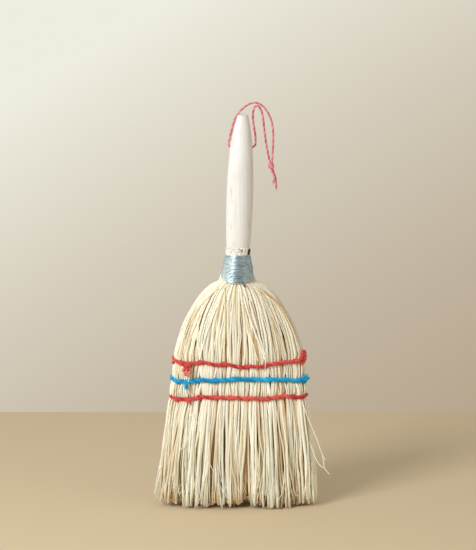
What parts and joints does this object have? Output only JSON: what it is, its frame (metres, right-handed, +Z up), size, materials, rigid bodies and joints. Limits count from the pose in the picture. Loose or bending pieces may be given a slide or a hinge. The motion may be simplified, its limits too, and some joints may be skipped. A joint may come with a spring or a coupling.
{
  "type": "hand broom",
  "caption": "Hand broom of straw bound to a turned wooden handle with wound wire, sewn flat with coloured twine, with a cord loop for hanging.",
  "frame": {"origin": "middle of the sweeping edge, on the surface that the broom stands on", "axes": "+Z up along the head to the handle, +X to the right as pictured, -Y the face that is pictured"},
  "size_m": [0.1534, 0.042, 0.3905],
  "materials": {
    "turned_wood": "bare, sanded",
    "broom_straw": "dry plant stalk, matte",
    "galvanised_wire": "galvanised, dull",
    "nail_steel": "plain",
    "red_twine": "twisted, matte",
    "blue_twine": "twisted, matte",
    "red_cord": "twisted, matte"
  },
  "bodies": {
    "broom": {"handle": "turned_wood", "binding_wire": "galvanised_wire", "binding_nails": "nail_steel", "left_shoulder_straw": "broom_straw", "right_shoulder_straw": "broom_straw", "front_cover_straw": "broom_straw", "back_cover_straw": "broom_straw", "front_inner_straw": "broom_straw", "back_inner_straw": "broom_straw", "upper_band": "red_twine", "upper_stitches": "red_twine", "upper_knot": "red_twine", "middle_band": "blue_twine", "middle_stitches": "blue_twine", "middle_knot": "blue_twine", "lower_band": "red_twine", "lower_stitches": "red_twine", "lower_knot": "red_twine"},
    "cord_loop": {"hanging_cord": "red_cord", "hanging_knot": "red_cord"}
  },
  "joints": [
    {"name": "loop_swing", "type": "hinge", "parent": "broom", "child": "cord_loop", "pos_m": [0.00356, 0, 0.34595], "axis": [0.9995, 0, -0.0311], "range_deg": [-120, 120]}
  ]
}
